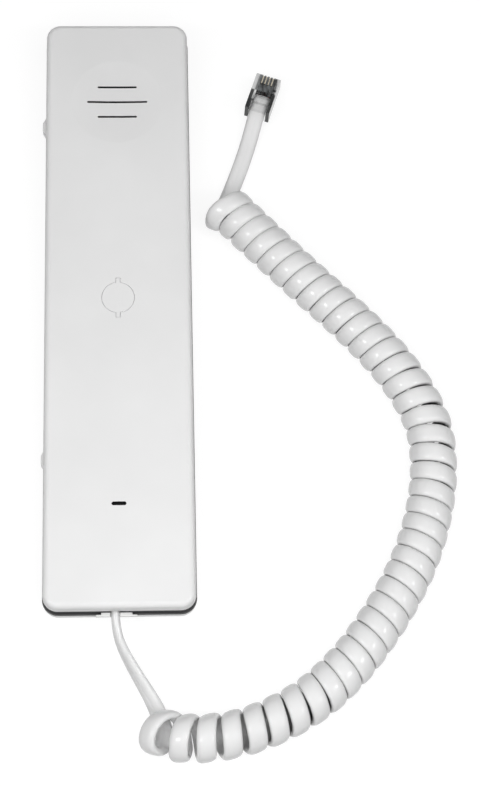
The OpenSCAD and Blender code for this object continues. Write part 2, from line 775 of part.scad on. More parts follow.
module receiver_yoke() color(steel) translate([0, ear_y, 0]) difference() {
    cylinder_between(yoke_dia / 2, yoke_low, yoke_low + yoke_h);
    cylinder_between(yoke_dia / 2 - yoke_wall, magnet_low, yoke_low + yoke_h + 1);
}

module receiver_magnet() color([0.3, 0.3, 0.32]) translate([0, ear_y, 0])
    cylinder_between(magnet_dia / 2, magnet_low, pole_low);

module pole_plate() color(steel) translate([0, ear_y, 0])
    cylinder_between(pole_r, pole_low, pole_low + pole_t);

// The dome and its rolled surround, as one thin revolved sheet
diaphragm_t = 0.2;
dome_h = 0.7;
diaphragm_z = receiver_top - grille_t - 1.6;

module diaphragm() color([0.8, 0.78, 0.7]) translate([0, ear_y, diaphragm_z]) {
    rim_r = receiver_dia / 2 - receiver_wall - fit_gap;
    dome_r = coil_in_r + coil_wall;
    dome_sphere_r = (dome_r * dome_r + dome_h * dome_h) / (2 * dome_h);
    rotate_extrude() {
        intersection() {
            difference() {
                translate([0, dome_h - dome_sphere_r]) circle(dome_sphere_r, $fn = 256);
                translate([0, dome_h - dome_sphere_r])
                    circle(dome_sphere_r - diaphragm_t, $fn = 256);
            }
            square([dome_r, 2 * dome_h]);
        }
        translate([dome_r - 0.5, 0]) square([rim_r - dome_r + 0.5, diaphragm_t]);
        translate([rim_r - 0.8, 0]) square([0.8, 0.7]);
    }
}

module voice_coil() color(copper) translate([0, ear_y, 0])
    pipe(coil_in_r + coil_wall, coil_in_r, pole_low - 0.6, diaphragm_z);

module receiver_grille() color("gainsboro") translate([0, ear_y, 0]) difference() {
    union() {
        cylinder_between(receiver_dia / 2 - receiver_wall - fit_gap, receiver_top - grille_t,
                         receiver_top);
        pipe(receiver_dia / 2 - receiver_wall - fit_gap, receiver_dia / 2 - receiver_wall - 1,
             diaphragm_z + 0.7, receiver_top - grille_t + 0.1);
    }
    for (k = [0:5]) rotate([0, 0, k * 60]) translate([4.6, 0, 0])
        cylinder_between(1, receiver_low, receiver_top + 1, $fn = 24);
    cylinder_between(1, receiver_low, receiver_top + 1, $fn = 24);
}

module receiver_gasket() color([0.15, 0.15, 0.15]) translate([0, ear_y, 0])
    pipe(receiver_dia / 2, receiver_dia / 2 - 2, receiver_top, face_under);

module dust_cloth() color([0.25, 0.25, 0.25]) translate([0, ear_y, 0])
    cylinder_between(receiver_dia / 2 - 2 - fit_gap, face_under - 0.3, face_under);

module receiver_pad() color([0.2, 0.2, 0.2]) translate([0, ear_y, 0])
    cylinder_between(pad_dia / 2, rear_wall, yoke_low);

module receiver_wires() color("red") for (s = [-1, 1])
    wire([[s * 5, ear_y - 9, receiver_low - wire_low], [s * 5, ear_y - 11.5, receiver_low - 0.9],
          [s * 4.4, board_top_y + 1, board_under - 0.8],
          [s * 4, board_top_y - 2, board_under - wire_low],
          [s * 4, board_top_y - 4, board_under - wire_low]]);

// ---------------------------------------------------------------- microphone

module mic_capsule() color(steel) translate([0, -mouth_y, 0]) difference() {
    union() {
        cylinder_between(mic_dia / 2, mic_low + 0.4, mic_top);
        cylinder_between(mic_dia / 2 - 0.5, mic_low, mic_top);
    }
    cylinder_between(mic_dia / 2 - 1, mic_low - 1, mic_low + 0.3);
    cylinder_between(1, mic_top - 1, mic_top + 1);
}

module mic_boot() color([0.15, 0.15, 0.15]) translate([0, -mouth_y, 0]) difference() {
    cylinder_between(boot_r, face_under - boot_d, face_under);
    cylinder_between(mic_dia / 2 + fit_gap, face_under - boot_d - 1, mic_top);
    cylinder_between(mic_hole_r, mic_top - 1, face_under + 1);
}

module mic_felt() color([0.1, 0.1, 0.1]) translate([0, -mouth_y, 0])
    cylinder_between(mic_hole_r - fit_gap, mic_top, mic_top + 0.4);

module mic_wires() color("green") for (s = [-1, 1])
    wire([[s * 1.4, -mouth_y, mic_low + 0.3 - wire_low],
          [s * 1.6 + 2, -mouth_y + 2, mic_low - 0.8],
          [s * 1.4 + 6, -mouth_y + 5.5, mic_low - 1],
          [s * 1.2 + 8, -board_low_y + 1.5, board_under - wire_low],
          [s * 1.2 + 8, -board_low_y + 3, board_under - wire_low]]);

// ---------------------------------------------------------------- cord

module cord_gland() color(cord_white) difference() {
    union() {
        block([gland_x - gland_w / 2, rear_end_y - fit_gap - gland_flange_t, split_z],
              [gland_x + gland_w / 2, rear_end_y - fit_gap, gland_top]);
        block([gland_x - gland_neck_w / 2, rear_end_y - fit_gap - 0.1, split_z],
              [gland_x + gland_neck_w / 2, rear_end_y + 1, gland_top]);
        block([gland_x - gland_neck_w / 2 - 1, rear_end_y + lip_in + rim_out + 0.2, gland_low - 0.6],
              [gland_x + gland_neck_w / 2 + 1,
               rear_end_y + lip_in + rim_out + 0.2 + gland_inner_t, gland_top]);
        block([gland_x - gland_neck_w / 2, rear_end_y + 0.2, gland_low],
              [gland_x + gland_neck_w / 2, rear_end_y + lip_in + rim_out + 1, gland_top]);
    }
    block([cord_x - cord_t / 2 - fit_gap, rear_end_y - 3, cord_z - cord_w / 2 - fit_gap],
          [cord_x + cord_t / 2 + fit_gap, rear_end_y + 12, gland_top + 1]);
}

module cord_ferrule() color(steel) difference() {
    ferrule_y = rear_end_y + lip_in + rim_out + 0.2 + gland_inner_t + 0.2;
    block([cord_x - cord_t / 2 - 0.8, ferrule_y, cord_z - cord_w / 2 - 0.8],
          [cord_x + cord_t / 2 + 0.8, ferrule_y + ferrule_l, cord_z + cord_w / 2 + 0.8]);
    block([cord_x - cord_t / 2 - fit_gap, ferrule_y - 1, cord_z - cord_w / 2 - fit_gap],
          [cord_x + cord_t / 2 + fit_gap, ferrule_y + ferrule_l + 1,
           cord_z + cord_w / 2 + fit_gap]);
}

// Four conductors run from the jacket's end, below the microphone, to the board's socket
module cord_conductors() color(copper) for (i = [-1.5:1.5])
    wire([[cord_x, cord_in_y + 0.05, cord_z + i * 1.1], [cord_x, cord_in_y + 1.5, cord_z + i * 1.1],
          [cord_x + i * 0.5, cord_in_y + 4, cord_z - 1 + i],
          [i * 1.3, cord_in_y + 9, 6.5 + i * 0.5], [i * 1.6, -mouth_y, 4.8],
          [i * 2, -board_low_y - 3.5, board_under - 3.4],
          [i * 2, -board_low_y - 1, board_under - 1.9], [i * 2, -board_low_y, board_under - 1.6],
          [i * 2, -board_low_y + 2.2, board_under - 1.6]]);

module handset_tail() color(cord_white) tube(handset_tail_route, cord_w, cord_t, 12);
module plug_tail() color(cord_white) tube(plug_tail_route, cord_w, cord_t, 12);
module curly_cord() color(cord_white)
    tube([for (p = curl_axis) [p[0], p[1], curl_dia / 2, 0]], curl_dia, curl_dia, 12);

// ---------------------------------------------------------------- plug

module at_plug() {
    translate(plug_rear) rotate([0, 0, plug_turn]) children();
}

module at_contacts() {
    for (i = [-1.5:1.5]) translate([i * contact_pitch, 0, 0]) children();
}

jacket_gap = 0.25;
wedge_y = 2.6;
wedge_l = 2.2;
contact_y = plug_l - 0.4 - contact_l;

module plug_body() color(smoke) at_plug() difference() {
    translate([-plug_w / 2, 0, 0]) rotate([90, 0, 90]) linear_extrude(plug_w)
        polygon([[0, -plug_h / 2], [0, plug_h / 2], [plug_l - 0.8, plug_h / 2],
                 [plug_l, plug_h / 2 - 0.8], [plug_l, -plug_h / 2 + 0.8],
                 [plug_l - 0.6, -plug_h / 2]]);
    block([-cord_w / 2 - jacket_gap, -1, -cord_t / 2 - jacket_gap],
          [cord_w / 2 + jacket_gap, plug_cord_in + jacket_gap, cord_t / 2 + jacket_gap]);
    block([-cord_w / 2 - jacket_gap, wedge_y, 0],
          [cord_w / 2 + jacket_gap, wedge_y + wedge_l, plug_h]);
    at_contacts() {
        translate([0, plug_cord_in, 0]) rotate([-90, 0, 0])
            cylinder(r = contact_pitch * 0.45, h = plug_l - 1 - plug_cord_in, $fn = 24);
        block([-contact_t / 2 - 0.05, contact_y - 0.1, 0.2],
              [contact_t / 2 + 0.05, plug_l + 1, plug_h]);
    }
}

module plug_contacts() color(gold) at_plug() at_contacts()
    translate([-contact_t / 2, contact_y, 0.4]) rotate([90, 0, 90]) linear_extrude(contact_t)
        polygon([[0, 0], [0, plug_h / 2 - 1.6], [0.6, plug_h / 2 - 0.9],
                 [contact_l, plug_h / 2 - 0.9], [contact_l, 0.9], [contact_l - 0.8, 0]]);

module plug_conductors() color(copper) at_plug() at_contacts()
    translate([0, plug_cord_in, 0]) rotate([-90, 0, 0])
        cylinder(r = contact_pitch * 0.38, h = plug_l - 1.2 - plug_cord_in, $fn = 24);

module plug_wedge() color(smoke) at_plug()
    block([-cord_w / 2 - jacket_gap + fit_gap, wedge_y + fit_gap, cord_t / 2 + 0.05],
          [cord_w / 2 + jacket_gap - fit_gap, wedge_y + wedge_l - fit_gap, plug_h / 2 - 0.5]);

// The latch hangs below the body from its hinge at the nose: wide shoulders, then a finger tab
shoulder_w = plug_w - 1.8;
shoulder_l = 3.6;
shoulder_in = 1.2;

module plug_latch() color(smoke) at_plug() translate(latch_pivot) rotate([latch_angle, 0, 0]) {
    rotate([90, 0, 0]) linear_extrude(latch_l)
        translate([-latch_w / 2, -latch_t / 2]) square([latch_w, latch_t]);
    block([-shoulder_w / 2, -shoulder_in - shoulder_l, -latch_t / 2],
          [shoulder_w / 2, -shoulder_in, latch_t / 2]);
    rotate([0, 90, 0]) cylinder(d = latch_t, h = shoulder_w, center = true);
    translate([0, -latch_l, 0]) rotate([0, 90, 0])
        cylinder(d = latch_t, h = latch_w, center = true);
}

front_shell();
rear_shell();
seam_band();
screw_cap();
case_screw();
upper_key();
upper_switch_plunger();
upper_switch();
lower_key();
lower_switch_plunger();
lower_switch();
circuit_board();
board_screws();
speech_chip();
capacitors();
resistors();
cord_socket();
receiver_frame();
receiver_yoke();
receiver_magnet();
pole_plate();
voice_coil();
diaphragm();
receiver_grille();
receiver_gasket();
dust_cloth();
receiver_pad();
receiver_wires();
mic_capsule();
mic_boot();
mic_felt();
mic_wires();
cord_gland();
cord_ferrule();
cord_conductors();
handset_tail();
curly_cord();
plug_tail();
plug_body();
plug_contacts();
plug_conductors();
plug_wedge();
plug_latch();
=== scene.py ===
"""Slimline telephone handset with a curly cord and a clear plug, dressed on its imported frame."""

import json
import math

import bmesh
import bpy
from mathutils import Matrix, Vector
from mathutils.geometry import interpolate_bezier


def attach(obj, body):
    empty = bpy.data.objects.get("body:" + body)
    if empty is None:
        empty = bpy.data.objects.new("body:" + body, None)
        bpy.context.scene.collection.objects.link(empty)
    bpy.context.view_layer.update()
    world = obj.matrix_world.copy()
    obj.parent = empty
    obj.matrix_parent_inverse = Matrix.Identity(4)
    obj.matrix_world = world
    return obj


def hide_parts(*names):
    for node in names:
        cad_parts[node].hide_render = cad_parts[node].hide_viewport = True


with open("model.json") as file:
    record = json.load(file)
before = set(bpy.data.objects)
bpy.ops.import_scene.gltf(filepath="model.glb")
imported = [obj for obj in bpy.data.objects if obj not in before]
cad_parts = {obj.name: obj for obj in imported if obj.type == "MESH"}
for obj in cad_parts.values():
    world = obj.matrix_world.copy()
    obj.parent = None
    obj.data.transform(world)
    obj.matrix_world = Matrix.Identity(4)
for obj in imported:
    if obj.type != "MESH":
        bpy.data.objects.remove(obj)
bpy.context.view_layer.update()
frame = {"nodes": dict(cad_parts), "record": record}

bl_info = {
    "name": "Slimline Handset",
    "version": (1, 0, 0),
    "blender": (4, 5, 0),
    "location": "3D View > Sidebar > Handset",
    "description": "Dresses a slim telephone handset, its curly cord and its plug",
    "category": "Object",
}

MM = 0.001
UPWARD = Vector((0, 0, 1))
CAD = frame["nodes"]
SLOT_OF = {part["node"]: part["material_slot"] for part in frame["record"]["subparts"]}

# The handset lies on its back: +Z leaves the face, +Y points to the earpiece, in metres.
# The front face, and the shallow spherical dish round the earpiece
FACE_Z = 18 * MM
DISH_AT = Vector((0, 63.9)) * MM
DISH_R = 13.5 * MM
DISH_DEPTH = 0.5 * MM
DISH_SPHERE = (DISH_R ** 2 + DISH_DEPTH ** 2) / (2 * DISH_DEPTH)
DISH_CENTRE = Vector((*DISH_AT, FACE_Z - DISH_DEPTH + DISH_SPHERE))
# The middle of the mouthpiece's slot
MOUTH_AT = Vector((0, -60.5)) * MM
# Circles that hold the sound slots of the earpiece and the mouthpiece
EAR_SLOTS_R = 12 * MM
MOUTH_SLOT_R = 3 * MM
# The rear shell's parting face
PARTING_Z = 10.6 * MM
# The middle of the plug's rear face, and the plug's turn about the upright
PLUG_REAR = Vector((42, 66, 5.6)) * MM
PLUG_TURN = math.radians(-19)
# The plug's side walls start this far from its middle, and its solid front this far from its rear
PLUG_WALL = 2.75 * MM
PLUG_FRONT = 6.4 * MM


# ---------------------------------------------------------------- finishes

# Painted shade: the dark colours given to places that little light reaches
DEEP_SHADE = (0.02, 0.02, 0.02, 1)
COIL_SHADE = (0.05, 0.05, 0.05, 1)
# How far below the face a slot's wall counts as deep, and over what height the painted shade on it
# grows
WALL_TOP = 0.14 * MM
SHADE_RAMP = 0.1 * MM
# How far below the parting face the painted shade of the seam starts, and how full it is
SEAM_TOP = 0.12 * MM
SEAM_SHADE = 0.9


class Value:
    """A socket's value in an expression: each operator adds its Math node."""

    def __init__(self, finish, socket):
        self.finish = finish
        self.socket = socket

    def maths(self, operation, *values, clamp=False):
        """Adds a Math node with those values."""
        options = {"operation": operation, "use_clamp": clamp}
        return self.finish.node("ShaderNodeMath", options, dict(enumerate(values)))["Value"]

    def __add__(self, other):
        return self.maths("ADD", self, other)

    def __sub__(self, other):
        return self.maths("SUBTRACT", self, other)

    def __mul__(self, other):
        return self.maths("MULTIPLY", self, other)

    def __truediv__(self, other):
        return self.maths("DIVIDE", self, other)

    def __rsub__(self, other):
        return self.maths("SUBTRACT", other, self)

    __radd__ = __add__

    def clamped(self):
        """The value kept between 0 and 1."""
        return self.maths("ADD", self, 0.0, clamp=True)

    def above(self, edge, soft):
        """0 below the edge and 1 above it, with a ramp of that width between."""
        return ((self - (edge - soft / 2)) / soft).clamped()


class Outputs:
    """The outputs of a node, by name or number."""

    def __init__(self, finish, node):
        self.finish = finish
        self.node = node

    def __getitem__(self, key):
        return Value(self.finish, self.node.outputs[key])


class Finish:
    """A material under construction, or the world."""

    def __init__(self, name, kind=bpy.data.materials):
        self.holder = kind.new(name)
        self.holder.use_nodes = True
        self.tree = self.holder.node_tree
        self.tree.nodes.clear()

    def node(self, kind, options=None, sockets=None):
        """Adds a node: its options, and its sockets' values or links."""
        made = self.tree.nodes.new(kind)
        for key, value in (options or {}).items():
            setattr(made, key, value)
        for key, value in (sockets or {}).items():
            if isinstance(value, Value):
                self.tree.links.new(value.socket, made.inputs[key])
            else:
                made.inputs[key].default_value = value
        return Outputs(self, made)

    def place(self):
        """Object coordinates, in metres."""
        return self.node("ShaderNodeTexCoord")["Object"]

    def noise(self, at, per_metre, detail=2.0, roughness=0.5):
        """Soft noise with that many clouds to the metre."""
        sockets = {"Vector": at, "Scale": per_metre, "Detail": detail, "Roughness": roughness}
        return self.node("ShaderNodeTexNoise", None, sockets)["Fac"]

    def stretched(self, at, factors):
        """The coordinates with each axis multiplied, for grain that runs one way."""
        sockets = {0: at, 1: factors}
        return self.node("ShaderNodeVectorMath", {"operation": "MULTIPLY"}, sockets)["Vector"]

    def distance(self, at, spot):
        """How far a place lies from a spot."""
        sockets = {0: at, 1: spot}
        return self.node("ShaderNodeVectorMath", {"operation": "DISTANCE"}, sockets)["Value"]

    def apart(self, at):
        """The coordinates one by one, as X, Y and Z."""
        return self.node("ShaderNodeSeparateXYZ", None, {"Vector": at})

    def mix(self, factor, low, high):
        """A colour between low and high."""
        sockets = {0: factor, 6: low, 7: high}
        return self.node("ShaderNodeMix", {"data_type": "RGBA"}, sockets)[2]

    def bump(self, height, distance, strength):
        """Normals of a surface raised by the height times the distance."""
        sockets = {"Height": height, "Distance": distance, "Strength": strength}
        return self.node("ShaderNodeBump", None, sockets)["Normal"]

    def surface(self, sockets):
        """Closes the material with its one shader, and returns it."""
        shader = self.node("ShaderNodeBsdfPrincipled", None, sockets)["BSDF"]
        self.node("ShaderNodeOutputMaterial", None, {"Surface": shader})
        return self.holder


def shade(tone, factor):
    """A colour made lighter or darker."""
    return (*(min(1.0, part * factor) for part in tone[:3]), 1.0)


def painted_slot_shade(f, at):
    """Mask of the painted shade in the sound slots: 1 on their walls, below the face and the dish,
    and 0 elsewhere.
    """
    flat = f.stretched(at, (1, 1, 0))
    near_ear = 1 - f.distance(flat, (*DISH_AT, 0)).above(EAR_SLOTS_R, 1 * MM)
    near_mouth = 1 - f.distance(flat, (*MOUTH_AT, 0)).above(MOUTH_SLOT_R, 0.5 * MM)
    under_dish = f.distance(at, DISH_CENTRE).above(DISH_SPHERE + WALL_TOP, SHADE_RAMP)
    under_face = 1 - f.apart(at)["Z"].above(FACE_Z - WALL_TOP, SHADE_RAMP)
    return under_dish * near_ear + under_face * near_mouth


def painted_seam_shade(f, at):
    """Mask of the painted shade in the seam: near 1 on the rear shell's parting face, which lies
    deep in the seam, and 0 below it.
    """
    return f.apart(at)["Z"].above(PARTING_Z - SEAM_TOP, SHADE_RAMP) * SEAM_SHADE


def moulded(name, tone, rough, grain=0.01 * MM, coat=0.0, shine=0.5, shaded=None):
    """Moulded plastic: a slow tint change, a fine mould grain, patchy gloss and, where a mask is
    given, painted shade.
    """
    f = Finish(name)
    at = f.place()
    cloud = f.noise(at, per_metre=38, detail=3)
    fine = f.noise(at, per_metre=3500)
    patch = f.noise(at, per_metre=210, detail=3, roughness=0.6)
    colour = f.mix(cloud.above(0.5, 0.5), shade(tone, 0.97), shade(tone, 1.03))
    # Painted shade: the mask darkens the colour towards the deep shade colour
    if shaded:
        colour = f.mix(shaded(f, at).clamped(), colour, DEEP_SHADE)
    return f.surface({
        "Base Color": colour,
        "Roughness": rough * 0.85 + patch * (rough * 0.3),
        "Coat Weight": coat,
        "Coat Roughness": 0.12,
        "Specular IOR Level": shine,
        "Normal": f.bump(fine, grain, 0.6),
    })


def metal(name, tone, rough):
    """Metal with a fine grain, and tarnish that dulls it in patches."""
    f = Finish(name)
    at = f.place()
    grain = f.noise(at, per_metre=5000, detail=3)
    tarnish = f.noise(at, per_metre=420, detail=4, roughness=0.6).above(0.55, 0.3)
    return f.surface({
        "Base Color": f.mix(tarnish, tone, shade(tone, 0.72)),
        "Metallic": 1.0,
        "Roughness": rough + tarnish * 0.18 + grain * 0.08,
        "Normal": f.bump(grain, 0.004 * MM, 0.6),
    })


def porous(name, tone, cell, depth, rough):
    """Foam, felt or rubber: that many open cells to the metre, with painted shade where they are
    deep.
    """
    f = Finish(name)
    at = f.place()
    cells = f.node("ShaderNodeTexVoronoi", {"feature": "F1"}, {"Vector": at, "Scale": cell})
    hollow = cells["Distance"].above(0.45, 0.5)
    fuzz = f.noise(at, per_metre=cell * 3, detail=3)
    return f.surface({
        # painted shade in the cells' hollows
        "Base Color": f.mix(hollow * 0.7 + fuzz * 0.3, shade(tone, 1.25), shade(tone, 0.6)),
        "Roughness": rough,
        "Normal": f.bump(1 - hollow, depth, 0.8),
    })


def smoky(name, tone):
    """Clear smoky plastic: dark where it is thick, clear over the cord, with faint flow lines."""
    f = Finish(name)
    at = f.place()
    parts = f.apart(at)
    x, y = parts["X"] - PLUG_REAR.x, parts["Y"] - PLUG_REAR.y
    along = x * -math.sin(PLUG_TURN) + y * math.cos(PLUG_TURN)
    across = x * math.cos(PLUG_TURN) + y * math.sin(PLUG_TURN)
    wall = across.maths("ABSOLUTE", across).above(PLUG_WALL, 0.3 * MM)
    front = along.above(PLUG_FRONT, 0.4 * MM)
    flow = f.noise(f.stretched(at, (1, 0.3, 1)), per_metre=900, detail=3)
    slant = f.node("ShaderNodeLayerWeight", None, {"Blend": 0.45})["Facing"]
    # the side walls look thick behind the solid front, and clear beside it
    thick = wall * 1.15 + front - wall * front * 1.85
    streaks = flow.above(0.5, 0.3) * front
    return f.surface({
        "Base Color": f.mix(streaks, shade(tone, 0.1), tone),
        "Roughness": f.noise(at, per_metre=300, detail=3) * 0.08 + 0.05,
        "Alpha": (0.02 + thick * 0.8 + slant * 0.15).clamped(),
        "Coat Weight": 0.4,
        "Coat Roughness": 0.06,
        "Specular IOR Level": 0.15,
        "Normal": f.bump(flow, 0.02 * MM, 0.5),
    })


# ---------------------------------------------------------------- settings


def length(name, description, default, top=1.0):
    """A length in metres, as a setting."""
    return bpy.props.FloatProperty(name=name, description=description, default=default, min=0.0,
                                   max=top, precision=5, unit="LENGTH", subtype="DISTANCE")


def tone(name, description, default):
    """A colour, as a setting."""
    return bpy.props.FloatVectorProperty(name=name, description=description, default=default,
                                         size=3, min=0.0, max=1.0, subtype="COLOR")


class SlimlineFinishes(bpy.types.PropertyGroup):
    """Colours of the handset's plastics and of its cord"""

    shell: tone("Shells", "Colour of the two shells, the cap and the keys", (0.80, 0.80, 0.80))
    # Near black: the strip between the shells has a dark colour that also paints the shadow of the
    # seam
    band: tone("Seam band", "Colour of the strip between the shells", (0.035, 0.035, 0.037))
    cord: tone("Cord", "Colour of the cord's jacket and its gland", (0.80, 0.80, 0.80))
    plug: tone("Plug", "Tint of the clear plug", (0.16, 0.17, 0.175))
    shell_rough: bpy.props.FloatProperty(
        name="Shell roughness", description="Roughness of the shells' moulded surface",
        default=0.40, min=0.05, max=1.0)
    cord_rough: bpy.props.FloatProperty(
        name="Cord roughness", description="Roughness of the cord's jacket", default=0.42,
        min=0.05, max=1.0)


class SlimlineCordSizes(bpy.types.PropertyGroup):
    """Sizes of the flat cord and its coil"""

    width: length("Width", "Width of the flat cord", 4.9 * MM, 0.01)
    coiled_width: length("Coiled width", "Width of the cord in the curly stretch", 5.4 * MM, 0.01)
    thickness: length("Thickness", "Thickness of the flat cord", 2.5 * MM, 0.01)
    crease: length("Crease", "Depth of the line along the middle of both flats", 0.06 * MM, 0.001)
    coil: length("Coil", "Outer diameter of the curly stretch", 13.55 * MM, 0.05)
    turns: bpy.props.IntProperty(name="Turns", description="Number of turns of the curly stretch",
                                 default=41, min=3, max=80)
    pitch: length("Pitch", "Pitch of the turns that lie against each other", 5.308 * MM)
    pulled: length("Pulled near the handset", "Extra pitch of the fourth turn", 1.43 * MM)
    bent: length("Pulled in the bend", "Extra pitch in the middle of the bend", 0.68 * MM)
    skew: length("Skew", "Half of the lead of the first turns' outer side", 0.62 * MM, 0.005)
    lean: bpy.props.FloatProperty(name="Lean", description="Lean of the first turn",
                                  default=math.radians(40), subtype="ANGLE", unit="ROTATION")


class SlimlineEdges(bpy.types.PropertyGroup):
    """Widths of the small roundings on the moulded edges"""

    shell: length("Shell edges", "Rounding of the shells' slots, seats and rims", 0.14 * MM, 0.01)
    small: length("Small edges", "Rounding of the small pieces' edges", 0.08 * MM, 0.01)


class SlimlineLight(bpy.types.PropertyGroup):
    """Strengths of the studio light"""

    key: bpy.props.FloatProperty(name="Key", description="Power of the large soft lamp",
                                 default=1.92, min=0.0, unit="POWER")
    sky: bpy.props.FloatProperty(name="Surround", description="Level of the even light",
                                 default=0.13, min=0.0)
    floor: tone("Floor", "Colour of the floor", (0.23, 0.23, 0.23))


def settings(group):
    """The values of one group, as set in the panel."""
    return getattr(bpy.context.scene, "slimline_" + group)


# ---------------------------------------------------------------- shared steps

# The turn between two faces above which their edge is rounded and drawn sharp
SHARP = math.radians(28)
# The turn below which two faces are one flat, and the distance below which two places are one
SAME_FLAT = math.radians(0.02)
SAME_PLACE = 0.002 * MM
# A normal's upward part, above which a facet belongs to the front, and above which it is level
FACES_FRONT = 0.95
LIES_LEVEL = 0.999999


def linked(shape, name, material):
    """Makes an object from a bmesh, with its material."""
    mesh = bpy.data.meshes.new(name)
    shape.to_mesh(mesh)
    shape.free()
    mesh.materials.append(material)
    made = bpy.data.objects.new(name, mesh)
    bpy.context.scene.collection.objects.link(made)
    return made


def publish(shape, name, material, body="handset"):
    """Makes a finished piece that rides on its body."""
    piece = linked(shape, name, material)
    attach(piece, body)
    return piece


def refined(node, material, edge, body="handset"):
    """A copy of a CAD node with its doubles merged, its flats whole and its edges rounded."""
    shape = bmesh.new()
    shape.from_mesh(CAD[node].data)
    bmesh.ops.remove_doubles(shape, verts=shape.verts, dist=SAME_PLACE)
    bmesh.ops.dissolve_limit(shape, angle_limit=SAME_FLAT, verts=shape.verts,
                             edges=shape.edges, use_dissolve_boundaries=False)
    for face in shape.faces:
        face.smooth = True
    piece = publish(shape, node + "_finished", material, body)
    piece.data.set_sharp_from_angle(angle=SHARP)
    rounding = piece.modifiers.new("Edge rounding", "BEVEL")
    rounding.width = edge
    rounding.segments = 2
    rounding.limit_method = "ANGLE"
    rounding.angle_limit = SHARP
    rounding.use_clamp_overlap = True
    weights = piece.modifiers.new("Flat faces first", "WEIGHTED_NORMAL")
    weights.keep_sharp = True
    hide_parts(node)
    return piece


def true_face(piece):
    """Sets the exact shading of the flat face and of the dish in it, on the finished mesh."""
    graph = bpy.context.evaluated_depsgraph_get()
    mesh = bpy.data.meshes.new_from_object(piece.evaluated_get(graph))
    piece.modifiers.clear()
    piece.data = mesh
    normals = [Vector(corner.vector) for corner in mesh.corner_normals]
    for face in mesh.polygons:
        if face.normal.z < FACES_FRONT or face.center.z < FACE_Z - 1 * MM:
            continue
        # a facet of the dish leans a little, and the flat face doesn't
        leans = face.normal.z < LIES_LEVEL
        for corner in face.loop_indices:
            place = mesh.vertices[mesh.loops[corner].vertex_index].co
            if leans and (place.xy - DISH_AT).length < DISH_R + 0.02 * MM:
                normals[corner] = (DISH_CENTRE - place).normalized()
            elif abs(place.z - FACE_Z) < SAME_PLACE:
                normals[corner] = UPWARD
    mesh.normals_split_custom_set(normals)


def dress(node, material):
    """Gives a carried-over CAD node its finish."""
    for place in CAD[node].material_slots:
        place.material = material


def smooth_line(points, steps):
    """Points along a smooth curve through the given ones, with that many to each stretch."""
    points = [Vector(p) for p in points]
    line = []
    for i in range(len(points) - 1):
        before = points[max(i - 1, 0)]
        after = points[min(i + 2, len(points) - 1)]
        a, b = points[i], points[i + 1]
        span = (b - a).length
        lead = (b - before).normalized() * span / 3 if i else (b - a) / 3
        trail = (after - a).normalized() * span / 3 if i + 2 < len(points) else (b - a) / 3
        line += interpolate_bezier(a, a + lead, b - trail, b, steps + 1)[:-1]
    return line + [points[-1]]


def at_length(line, distance):
    """The point and the heading at a distance along a line of points."""
    for a, b in zip(line, line[1:]):
        step = (b - a).length
        if distance <= step or b is line[-1]:
            return a + (b - a) * (distance / step), (b - a).normalized()
        distance -= step


# ---------------------------------------------------------------- camera

# The camera's place, its focal length in millimetres, and how it is turned: tilted away from
# straight down, swung about the upright and rolled about its own line of sight
CAMERA_AT = Vector((6.189, -230.859, 570.651)) * MM
CAMERA_LENS = 95.642
CAMERA_TILT = math.radians(20.283)
CAMERA_SWING = math.radians(-7.918)
CAMERA_ROLL = math.radians(6.966)


class SLIMLINE_OT_camera(bpy.types.Operator):
    """Set the camera above the handset's lower end"""

    bl_idname = "slimline.camera"
    bl_label = "Camera"

    def execute(self, context):
        turn = Matrix.Rotation(CAMERA_SWING, 3, "Z")
        tilt, roll = CAMERA_TILT, CAMERA_ROLL
        ahead = turn @ Vector((0, math.sin(tilt), -math.cos(tilt)))
        level = turn @ Vector((1, 0, 0))
        above = turn @ Vector((0, math.cos(tilt), math.sin(tilt)))
        right = math.cos(roll) * level + math.sin(roll) * above
        up = -math.sin(roll) * level + math.cos(roll) * above
        lens = bpy.data.cameras.new("studio_camera")
        lens.lens = CAMERA_LENS
        lens.sensor_width = 36
        lens.sensor_fit = "AUTO"
        lens.clip_start = 0.01
        lens.clip_end = 20
        camera = bpy.data.objects.new("studio_camera", lens)
        context.scene.collection.objects.link(camera)
        place = Matrix((right, up, -ahead)).transposed().to_4x4()
        place.translation = CAMERA_AT
        camera.matrix_world = place
        context.scene.camera = camera
        return {"FINISHED"}


# ---------------------------------------------------------------- cord

# The flat cord from the gland to the floor: x, y, z in millimetres, and its roll in degrees
HANDSET_TAIL = (
    (-1.2, -84, 10.85, 90), (-1.2, -88, 10.85, 90), (-1.2, -92, 10.85, 90), (-0.9, -95, 9.5, 90),
    (0, -98, 7.8, 80), (2.6, -102.1, 5.4, 70), (5.4, -107.1, 3.2, 64), (9.1, -112.4, 1.8, 50),
)
# The flat cord from the coil to the plug
PLUG_TAIL = (
    (32.6, 39, 1.3, 0), (35.2, 45.6, 1.4, 0), (37.1, 50.6, 1.9, 0), (39.1, 56.4, 2.9, 0),
    (40.6, 61.4, 4.4, 0), (42, 66, 5.6, 0), (43.95, 71.67, 5.6, 0),
)
# The middle line of the curly stretch, seen from above, in millimetres
COIL_LINE = (
    (8.1, -121.3), (18, -123.8), (30.5, -122.9), (42, -119.2), (53.1, -113), (62.7, -104.4),
    (70.7, -94.6), (77.6, -84.1), (83, -73.6), (87.1, -61.5), (89.3, -48.8), (88.7, -35.4),
    (83.9, -23.5), (75.9, -11.8), (66, -0.7), (54.9, 10.5), (43.9, 21.9), (33.5, 32.8), (31, 35.5),
)
STEPS_PER_TURN = 28
# How far along its middle line the first turn starts
COIL_STARTS = 0.73 * MM
# The turn that is pulled out most near the handset and in the bend, and how many turns to each
# side of it still show it
PULLED_TURN, PULLED_TURNS = 3.85, 4.8
BENT_TURN, BENT_TURNS = 24.6, 5.1
